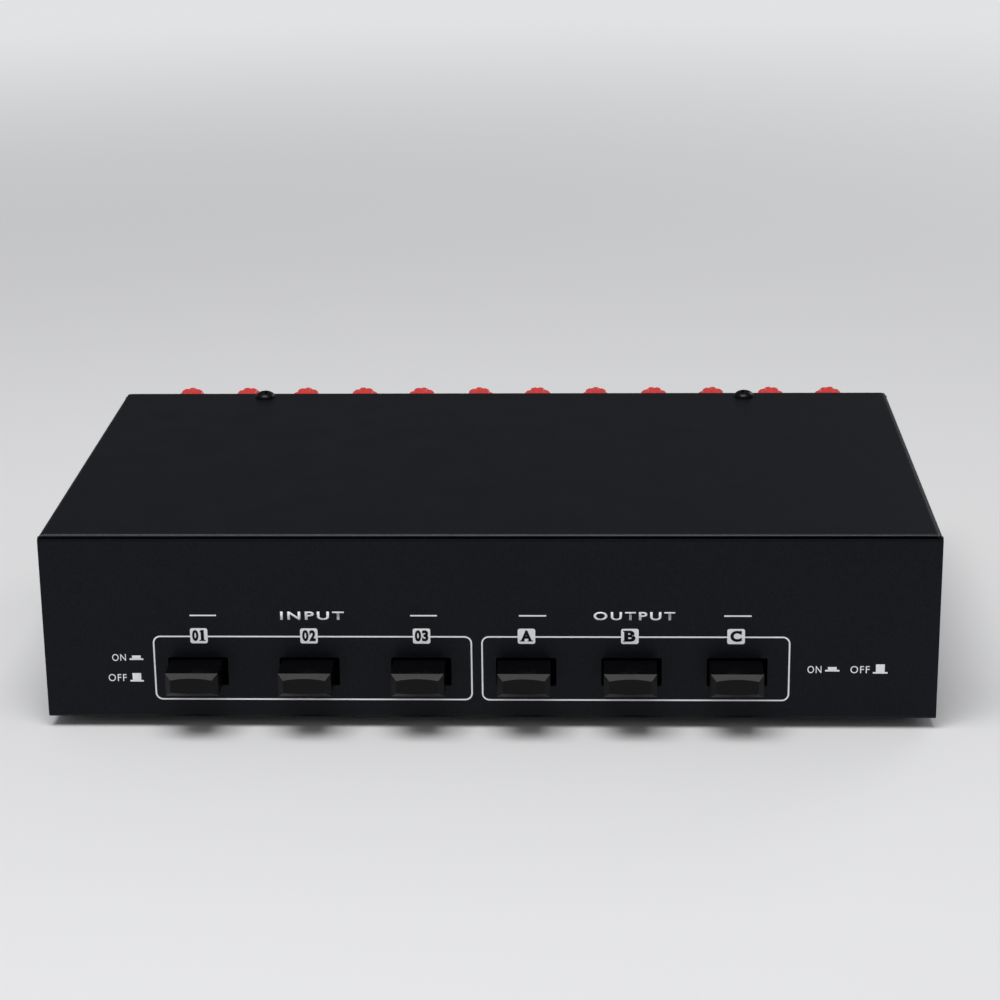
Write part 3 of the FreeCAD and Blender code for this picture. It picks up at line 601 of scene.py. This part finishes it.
class SELECTOR_OT_springs(bpy.types.Operator):
    """Six return springs, which ride with the case"""

    bl_idname = "selector.springs"
    bl_label = "Springs"

    def execute(self, context):
        for node, key in zip(SPRINGS, KEYS):
            piece = merged_copy(node, f"coiled_{node}")
            smooth(piece, 60)
            wear_finish(piece, "bright_zinc_plate")
            ride_and_slot(piece, "case", "spring_steel", node)
            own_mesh(piece)
        return {"FINISHED"}


# A screw cap: its grip, the plain skirt at its inner end and its bore
KNOB_RADIUS = 5.5 * MM
FLUTES = 12
FLUTE_RADIUS = 1.0 * MM
FLUTE_REACH = 0.45 * MM
SKIRT_LENGTH = 1.6 * MM
SKIRT_RADIUS = 5.1 * MM
BORE_RADIUS = 2.85 * MM
# Each cap is screwed down to its own stop, so its flutes end at another angle, in degrees
KNOB_TURN = 77.0


def scalloped_knob(low, high, sizes):
    """A screw cap: a cylinder with a plain skirt, twelve flutes, a round end and a bore."""
    axis = ((low.x + high.x) / 2, (low.z + high.z) / 2)
    skirt_end = low.y + SKIRT_LENGTH
    near = 0.01 * MM
    piece = rod("knob_blank", KNOB_RADIUS, low.y, high.y, axis, "Y", 96)
    select_edges(piece, lambda *ends: all(abs(point.y - high.y) < near for point in ends))
    bpy.ops.mesh.bevel(offset=sizes.knob_round, offset_type="OFFSET", segments=5, affect="EDGES")
    object_mode()
    flutes = []
    for i in range(FLUTES):
        angle = math.pi / 2 + i * 2 * math.pi / FLUTES
        reach = KNOB_RADIUS + FLUTE_REACH
        place = (axis[0] + reach * math.cos(angle), axis[1] + reach * math.sin(angle))
        flutes.append(rod(f"flute_{i}", FLUTE_RADIUS, skirt_end, high.y + MM, place, "Y", 32))
    carve(piece, join(flutes, "flute_cutters"))
    ring = rod("skirt_ring", KNOB_RADIUS + MM, low.y - MM, skirt_end, axis, "Y", 64)
    carve(ring, rod("skirt_core", SKIRT_RADIUS, low.y - 2 * MM, high.y, axis, "Y", 96))
    carve(piece, ring)
    carve(piece, rod("stem_room", BORE_RADIUS, low.y - MM, high.y + MM, axis, "Y", 48))
    soften(piece, sizes.knob_edge, 3, 28)
    return piece


class SELECTOR_OT_knobs(bpy.types.Operator):
    """Screw caps with a scalloped grip: twelve red ones above and twelve black ones below"""

    bl_idname = "selector.knobs"
    bl_label = "Screw caps"

    def execute(self, context):
        sizes = settings()[0]
        first_low, first_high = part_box("red_knob_01")
        master = scalloped_knob(first_low, first_high, sizes)
        axis = (first_low + first_high) / 2
        for colour in ("red", "black"):
            wear_finish(master, f"moulded_{colour}_cap")
            for i in range(1, POSTS_IN_ROW + 1):
                node = f"{colour}_knob_{i:02d}"
                piece = copy_at(master, f"moulded_{node}", Vector((0, 0, 0)))
                spin = Matrix.Rotation(math.radians(KNOB_TURN * i), 4, "Y")
                to_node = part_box(node)[0] - first_low
                piece.matrix_world = Matrix.Translation(axis + to_node) @ spin @ Matrix.Translation(-axis)
                settle(piece)
                ride_and_slot(piece, f"{colour}_cap_{i:02d}", f"{colour}_plastic", node)
        bpy.data.objects.remove(master, do_unlink=True)
        return {"FINISHED"}


# A pan-head screw: its domed head, the cross in it and its plain shank
HEAD_RADIUS = 3.2 * MM
HEAD_HEIGHT_SHARE = 0.62
HEAD_EDGE = 0.1 * MM
CROSS_REACH = 1.7 * MM
CROSS_HALF = 0.4 * MM
CROSS_FLOOR = 1.0 * MM
CROSS_STEP = 0.01 * MM
CROSS_ROOM = 3 * MM
SHANK_RADIUS = 1.45 * MM
SHANK_LENGTH = 3.9 * MM
SHANK_GRIP = 0.2 * MM
# Where the screws sit in the lid and in each side
LID_SCREW_X = 76.7 * MM
LID_SCREW_INSET = 4.8 * MM
SIDE_SCREW_INSET = 30 * MM
SIDE_SCREW_HEIGHT = 10 * MM
# How far the lid's screws are turned, in radians
FIRST_TURN = 0.4
NEXT_TURN = 0.7


def screw_head():
    """A pan-head screw along Z at the origin: domed head, cross recess and a plain shank."""
    clear_selection()
    bpy.ops.mesh.primitive_uv_sphere_add(segments=48, ring_count=24, radius=HEAD_RADIUS)
    head = bpy.context.active_object
    head.scale = (1, 1, HEAD_HEIGHT_SHARE)
    settle(head)
    room = 2 * HEAD_RADIUS
    carve(head, block("below_head", (-room, -room, -room), (room, room, 0)))
    # The second arm's floor lies a little higher, so that no two cut faces share a plane
    for i, (x, y) in enumerate(((CROSS_REACH, CROSS_HALF), (CROSS_HALF, CROSS_REACH))):
        floor = CROSS_FLOOR + i * CROSS_STEP
        carve(head, block(f"cross_arm_{i}", (-x, -y, floor), (x, y, floor + CROSS_ROOM)))
    shank = rod("shank", SHANK_RADIUS, -SHANK_LENGTH, SHANK_GRIP, (0, 0), "Z", 32)
    modify(head, "BOOLEAN", operation="UNION", object=shank, solver="EXACT")
    bpy.data.objects.remove(shank, do_unlink=True)
    soften(head, HEAD_EDGE, 2, 40)
    return head


class SELECTOR_OT_screws(bpy.types.Operator):
    """Two black screws on the lid and two in each side"""

    bl_idname = "selector.screws"
    bl_label = "Screws"

    def execute(self, context):
        master = screw_head()
        wear_finish(master, "black_zinc_plate")
        copies = []
        quarter = math.pi / 2
        places = [(sign * LID_SCREW_X, REAR_Y - LID_SCREW_INSET, CASE_TOP, 0) for sign in (-1, 1)]
        for sign in (-1, 1):
            for y in (FRONT_Y + SIDE_SCREW_INSET, REAR_Y - SIDE_SCREW_INSET):
                places.append((sign * COVER_HIGH.x, y, CASE_Z + SIDE_SCREW_HEIGHT, sign * quarter))
        for i, (x, y, z, turn) in enumerate(places):
            piece = master.copy()
            piece.data = master.data.copy()
            context.scene.collection.objects.link(piece)
            piece.rotation_euler = (0, turn, 0) if turn else (0, 0, FIRST_TURN + NEXT_TURN * i)
            piece.location = (x, y, z)
            copies.append(settle(piece))
        bpy.data.objects.remove(master, do_unlink=True)
        ride_and_slot(join(copies, "lid_and_side_screws"), "case", "black_screw", "cover_screws")
        return {"FINISHED"}


# The print is laid out in millimetres: x from the case's middle, z above the case's underside
PRINT_Y = {"front": FRONT_Y, "rear": REAR_Y}
# How deep the ink reaches into the coat, so that no gap shows under it
INK_SINK = 0.02 * MM


def face_point(x, z, side):
    """A point on a panel as seen by someone facing it."""
    across = x * MM if side == "front" else -x * MM
    return Vector((across, PRINT_Y[side], CASE_Z + z * MM))


def stand_on_panel(piece, side, height):
    """Turns a flat piece drawn in X and Y upright onto a panel and gives it the ink's height."""
    weld = 0.001 * MM
    depth = height + INK_SINK
    piece.rotation_euler = (math.pi / 2, 0, 0 if side == "front" else math.pi)
    settle(piece)
    only(piece)
    bpy.ops.object.mode_set(mode="EDIT")
    bpy.ops.mesh.select_all(action="SELECT")
    bpy.ops.mesh.remove_doubles(threshold=weld)
    object_mode()
    modify(piece, "SOLIDIFY", thickness=depth, offset=1.0 - 2 * INK_SINK / depth)


def letters(text, x0, x1, z0, z1, side="front", weight=0.0, space=1.0, height=None):
    """Words that fill the box from x0, z0 to x1, z1 on a panel, as a flat mesh."""
    clear_selection()
    bpy.ops.object.text_add()
    words = bpy.context.active_object
    words.data.body = text
    words.data.offset = weight
    words.data.space_character = space
    words.data.resolution_u = 6
    bpy.ops.object.convert(target="MESH")
    words = bpy.context.active_object
    low = [min(v.co[k] for v in words.data.vertices) for k in (0, 1)]
    high = [max(v.co[k] for v in words.data.vertices) for k in (0, 1)]
    scale_x = (x1 - x0) * MM / (high[0] - low[0])
    scale_z = (z1 - z0) * MM / (high[1] - low[1])
    words.scale = (scale_x, scale_z, 1)
    words.location = (-low[0] * scale_x - (x1 - x0) * MM / 2, -low[1] * scale_z - (z1 - z0) * MM / 2, 0)
    settle(words)
    stand_on_panel(words, side, height or settings()[0].print_height)
    words.location = face_point((x0 + x1) / 2, (z0 + z1) / 2, side)
    return settle(words)


def flat_shape(x0, x1, z0, z1, side="front", corner=0.0, line=0.0, height=None):
    """A filled rectangle on a panel, or its outline where a line width is given."""
    clear_selection()
    bpy.ops.mesh.primitive_plane_add(size=1)
    piece = bpy.context.active_object
    piece.scale = ((x1 - x0) * MM, (z1 - z0) * MM, 1)
    settle(piece)
    bpy.ops.object.mode_set(mode="EDIT")
    bpy.ops.mesh.select_all(action="SELECT")
    if corner:
        bpy.ops.mesh.bevel(offset=corner * MM, segments=8, affect="VERTICES")
    if line:
        bpy.ops.mesh.select_all(action="SELECT")
        bpy.ops.mesh.inset(thickness=line * MM)
        bpy.ops.mesh.delete(type="FACE")
    object_mode()
    stand_on_panel(piece, side, height or settings()[0].print_height)
    piece.location = face_point((x0 + x1) / 2, (z0 + z1) / 2, side)
    return settle(piece)


# The pictograms: left end and underside of the base bar, its width and how far the key stands out
PICTOGRAMS = (
    (-99.1, 17.1, 3.8, 0.85),
    (-99.2, 10.7, 3.7, 2.05),
    (91.8, 14.1, 3.9, 0.85),
    (104.8, 13.5, 4.0, 2.25),
)
BAR_TALL = 0.45
BAR_SHARE_BELOW_KEY = 0.9
KEY_WIDE = 2.4


def pictogram(left, low, wide, stands_out):
    """A push button seen from the side: a base bar with its key standing on it."""
    middle = left + wide / 2
    return [flat_shape(left, left + wide, low, low + BAR_TALL),
            flat_shape(middle - KEY_WIDE / 2, middle + KEY_WIDE / 2, low + BAR_TALL * BAR_SHARE_BELOW_KEY,
                       low + BAR_TALL + stands_out)]


# The two frames: left, right and underside
FRAMES = ((-92.4, -4.6, 5.35), (-2.1, 82.2, 5.3))
FRAME_TOP = 24.25
FRAME_CORNER = 2.1
FRAME_LINE = 0.42
# Short rules beside the two headings
RULES = ((-81.9, -74.6), (-21.4, -14.1), (8.3, 15.7), (64.1, 71.5))
RULE_LOW = 30.0
RULE_TOP = 30.4
# The words: the box that each fills, how much heavier it is drawn and the space between its letters
CAPTIONS = (
    ("INPUT", -57.0, -39.5, 28.95, 31.35, 0.02, 1.25),
    ("OUTPUT", 28.6, 50.8, 28.95, 31.35, 0.02, 1.25),
    ("ON", -103.9, -100.1, 16.8, 18.8, 0.0, 1.15),
    ("OFF", -105.2, -100.2, 10.8, 12.9, 0.0, 1.15),
    ("ON", 87.0, 90.8, 13.6, 15.7, 0.0, 1.15),
    ("OFF", 98.7, 103.9, 13.6, 15.7, 0.0, 1.15),
)
# The white labels over the buttons: the mark in each and its middle
LABELS = (("01", -79.6), ("02", -49.3), ("03", -18.4), ("A", 10.3), ("B", 38.5), ("C", 67.4))
LABEL_HALF = 2.4
LABEL_LOW = 22.05
LABEL_TOP = 26.45
LABEL_CORNER = 0.6
LABEL_HEIGHT = 0.05 * MM

# Serifs of the dark marks: each a bar from x0 to x1, z0 to z1, as shares of its letter's box
SERIFS = {
    "0": (),
    "1": ((0.0, 1.0, 0.0, 0.1), (0.1, 0.55, 0.8, 0.9)),
    "2": ((0.86, 1.0, 0.0, 0.26),),
    "3": (),
    "A": ((-0.08, 0.34, 0.0, 0.08), (0.6, 1.08, 0.0, 0.08)),
    "B": ((-0.12, 0.3, 0.0, 0.08), (-0.12, 0.3, 0.92, 1.0)),
    "C": ((0.86, 0.98, 0.66, 1.0),),
}
MARK_LOW = 22.75
MARK_HIGH = 25.95
MARK_HEIGHT = 0.09 * MM
MARK_WEIGHT = 0.05
# How wide a letter is in a mark of one and of two letters, and how far apart two stand
LETTER_WIDE = {1: 3.1, 2: 1.7}
LETTER_STEP = 1.95
# The share of its box that the narrow 1 leaves free on either side
NARROW_SIDE = 0.24


def serif_mark(text, x):
    """A dark mark inside a white label, in heavy letters with serifs."""
    wide = LETTER_WIDE[len(text)]
    tall = MARK_HIGH - MARK_LOW
    pieces = []
    for i, letter in enumerate(text):
        middle = x + (i - (len(text) - 1) / 2) * LETTER_STEP
        left = middle - wide / 2
        side = NARROW_SIDE if letter == "1" else 0.0
        pieces.append(letters(letter, left + side * wide, left + (1 - side) * wide, MARK_LOW, MARK_HIGH,
                              weight=MARK_WEIGHT, height=MARK_HEIGHT))
        for x0, x1, z0, z1 in SERIFS[letter]:
            pieces.append(flat_shape(left + x0 * wide, left + x1 * wide, MARK_LOW + z0 * tall,
                                     MARK_LOW + z1 * tall, height=MARK_HEIGHT))
    return pieces


class SELECTOR_OT_front_print(bpy.types.Operator):
    """White frames, captions and marks on the front panel"""

    bl_idname = "selector.front_print"
    bl_label = "Front print"

    def execute(self, context):
        ink = []
        for x0, x1, z0 in FRAMES:
            ink.append(flat_shape(x0, x1, z0, FRAME_TOP, corner=FRAME_CORNER, line=FRAME_LINE))
        for _, x in LABELS:
            ink.append(flat_shape(x - LABEL_HALF, x + LABEL_HALF, LABEL_LOW, LABEL_TOP,
                                  corner=LABEL_CORNER, height=LABEL_HEIGHT))
        for x0, x1 in RULES:
            ink.append(flat_shape(x0, x1, RULE_LOW, RULE_TOP))
        for text, x0, x1, z0, z1, weight, space in CAPTIONS:
            ink.append(letters(text, x0, x1, z0, z1, weight=weight, space=space))
        for left, low, wide, stands_out in PICTOGRAMS:
            ink += pictogram(left, low, wide, stands_out)
        piece = join(ink, "front_print")
        wear_finish(piece, "screen_print_ink")
        ride_and_slot(piece, "case", "black_powder_coat")
        marks = []
        for text, x in LABELS:
            marks += serif_mark(text, x)
        piece = join(marks, "front_marks")
        wear_finish(piece, "textured_powder_coat")
        ride_and_slot(piece, "case", "black_powder_coat")
        return {"FINISHED"}


# The rear print: how the posts stand, and the marks round each pair of them
POST_PITCH = 19.05
ROW_MIDDLE = 0.8
CHANNEL_HALF = 0.9
CHANNEL_LOW = 34.2
CHANNEL_TOP = 36.4
SIGN_ASIDE = 6.7
SIGN_HALF = 0.9
SIGN_LINE_HALF = 0.2
PLUS_Z = 44.8
MINUS_Z = 25.75
PAIR_NAMES = ("INPUT 1", "INPUT 2", "INPUT 3", "OUTPUT A", "OUTPUT B", "OUTPUT C")
NAME_LOW = 11.2
NAME_TOP = 13.6
LETTER_HALF = 1.15
BRACKET_HALF = 16.2
BRACKET_LOW = 16.6
BRACKET_TOP = 18.4
BRACKET_LINE = 0.35


def sign_bar(x, z, across, tall):
    """One stroke of a plus or minus sign on the rear panel, by its middle and half sizes."""
    return flat_shape(x - across, x + across, z - tall, z + tall, "rear")


class SELECTOR_OT_rear_print(bpy.types.Operator):
    """White marks round the binding posts on the rear panel"""

    bl_idname = "selector.rear_print"
    bl_label = "Rear print"

    def execute(self, context):
        ink = []
        first = ROW_MIDDLE - (POSTS_IN_ROW - 1) / 2 * POST_PITCH
        for pair, name in enumerate(PAIR_NAMES):
            left = -(first + 2 * pair * POST_PITCH)
            for k, channel in enumerate("LR"):
                x = left - k * POST_PITCH
                ink.append(letters(channel, x - CHANNEL_HALF, x + CHANNEL_HALF, CHANNEL_LOW, CHANNEL_TOP,
                                   "rear"))
                ink.append(sign_bar(x - SIGN_ASIDE, PLUS_Z, SIGN_HALF, SIGN_LINE_HALF))
                ink.append(sign_bar(x - SIGN_ASIDE, PLUS_Z, SIGN_LINE_HALF, SIGN_HALF))
                ink.append(sign_bar(x - SIGN_ASIDE, MINUS_Z, SIGN_HALF, SIGN_LINE_HALF))
            middle = left - POST_PITCH / 2
            half = LETTER_HALF * len(name)
            ink.append(letters(name, middle - half, middle + half, NAME_LOW, NAME_TOP, "rear", space=1.1))
            ink.append(flat_shape(middle - BRACKET_HALF, middle + BRACKET_HALF, BRACKET_LOW,
                                  BRACKET_LOW + BRACKET_LINE, "rear"))
            for x in (middle - BRACKET_HALF, middle + BRACKET_HALF - BRACKET_LINE):
                ink.append(flat_shape(x, x + BRACKET_LINE, BRACKET_LOW, BRACKET_TOP, "rear"))
        piece = join(ink, "rear_print")
        wear_finish(piece, "screen_print_ink")
        ride_and_slot(piece, "case", "black_powder_coat")
        return {"FINISHED"}


# The finish of each node that keeps its own mesh, apart from the plungers
NODE_FINISHES = {
    "rubber_feet": "moulded_rubber",
    "switch_bodies": "phenolic_housing",
    "switch_pins": "bright_zinc_plate",
    "switch_board": "solder_masked_laminate",
    "terminal_board": "solder_masked_laminate",
    "board_standoffs": "plated_turned_brass",
    "board_screws": "bright_zinc_plate",
    "red_collars": "moulded_red_cap",
    "black_collars": "moulded_black_cap",
    "post_stems": "plated_turned_brass",
    "inner_washers": "vulcanised_fibre",
    "stem_nuts": "plated_turned_brass",
    "solder_joints": "bright_zinc_plate",
    "red_wires": "red_pvc_sleeve",
    "black_wires": "black_pvc_sleeve",
}


class SELECTOR_OT_finishes(bpy.types.Operator):
    """Gives every node that keeps its own mesh the finish of the real piece"""

    bl_idname = "selector.finishes"
    bl_label = "Finishes"

    def execute(self, context):
        for name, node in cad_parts.items():
            finish = "natural_acetal" if "plunger" in name else NODE_FINISHES.get(name)
            if finish:
                wear_finish(node, finish)
        return {"FINISHED"}


FLOOR_SIZE = 6.0
# The soft boxes: place and target, width and depth in metres, and power in watts
SOFT_BOXES = (
    ("top_box", (-0.1, -0.42, 1.15), (0, 0, 0.03), 0.9, 0.6, 10.5),
    ("rear_box", (0.85, 1.05, 0.62), (0, 0, 0.05), 0.7, 0.4, 2.2),
)


def soft_box(name, place, target, wide, deep, watts):
    """A rectangular area light that faces a target."""
    data = bpy.data.lights.new(name, "AREA")
    data.shape = "RECTANGLE"
    data.size = wide
    data.size_y = deep
    data.energy = watts
    lamp = bpy.data.objects.new(name, data)
    bpy.context.scene.collection.objects.link(lamp)
    lamp.location = place
    lamp.rotation_euler = (Vector(target) - Vector(place)).to_track_quat("-Z", "Y").to_euler()


class SELECTOR_OT_stage(bpy.types.Operator):
    """Pale floor, soft lights, world and the camera"""

    bl_idname = "selector.stage"
    bl_label = "Stage"

    def execute(self, context):
        scene = context.scene
        clear_selection()
        bpy.ops.mesh.primitive_plane_add(size=FLOOR_SIZE)
        floor = context.active_object
        floor.name = "floor"
        floor.data.materials.append(floor_paper(settings()[1]))
        for name, place, target, wide, deep, watts in SOFT_BOXES:
            soft_box(name, place, target, wide, deep, watts)
        world = bpy.data.worlds.new("studio")
        scene.world = world
        world.use_nodes = True
        self.light_world(world.node_tree)
        scene.view_settings.view_transform = "Standard"
        self.add_camera(scene)
        return {"FINISHED"}

    def light_world(self, tree):
        """A dim even light, which the camera sees as a pale backdrop."""
        background = tree.nodes["Background"]
        background.inputs["Color"].default_value = linear(BACKDROP)
        tree.links.new(backdrop_strength(tree).outputs["Result"], background.inputs["Strength"])

    def add_camera(self, scene):
        """The photograph's camera, fitted to the case's corners."""
        pitch = math.radians(18)
        yaw = -0.03747
        roll = -0.011888
        sensor = 36
        lens = 2.57382 * sensor
        aside = 28.13 * MM
        away = 656.74 * MM
        above = 276.91 * MM
        ahead = Vector((math.sin(yaw) * math.cos(pitch), math.cos(yaw) * math.cos(pitch), -math.sin(pitch)))
        right = Vector((math.cos(yaw), -math.sin(yaw), 0))
        up = right.cross(ahead)
        turned_right = right * math.cos(roll) + up * math.sin(roll)
        turned_up = up * math.cos(roll) - right * math.sin(roll)
        data = bpy.data.cameras.new("camera")
        data.sensor_width = sensor
        data.lens = lens
        camera = bpy.data.objects.new("camera", data)
        scene.collection.objects.link(camera)
        turn = Matrix((turned_right, turned_up, -ahead)).transposed().to_4x4()
        place = Vector((aside, FRONT_Y - away, CASE_Z + above))
        camera.matrix_world = Matrix.Translation(place) @ turn
        scene.camera = camera


STEPS = (SELECTOR_OT_finishes, SELECTOR_OT_case, SELECTOR_OT_buttons, SELECTOR_OT_springs,
         SELECTOR_OT_knobs, SELECTOR_OT_screws, SELECTOR_OT_front_print, SELECTOR_OT_rear_print,
         SELECTOR_OT_stage)


class SELECTOR_PT_panel(bpy.types.Panel):
    """Lists the steps and the values that a user would change"""

    bl_idname = "SELECTOR_PT_panel"
    bl_label = "Speaker selector switch"
    bl_space_type = "VIEW_3D"
    bl_region_type = "UI"
    bl_category = "Selector"

    def draw(self, context):
        for group in (context.scene.selector_sizes, context.scene.selector_colours):
            for name in group.__annotations__:
                self.layout.prop(group, name)
        for step in STEPS:
            self.layout.operator(step.bl_idname)


CLASSES = (SelectorSizes, SelectorColours) + STEPS + (SELECTOR_PT_panel,)


def register():
    for item in CLASSES:
        bpy.utils.register_class(item)
    bpy.types.Scene.selector_sizes = bpy.props.PointerProperty(type=SelectorSizes)
    bpy.types.Scene.selector_colours = bpy.props.PointerProperty(type=SelectorColours)


def unregister():
    del bpy.types.Scene.selector_colours
    del bpy.types.Scene.selector_sizes
    for item in reversed(CLASSES):
        bpy.utils.unregister_class(item)


def main():
    """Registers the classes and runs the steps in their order."""
    register()
    for step in STEPS:
        group, name = step.bl_idname.split(".")
        getattr(getattr(bpy.ops, group), name)()


if __name__ == "__main__":
    main()
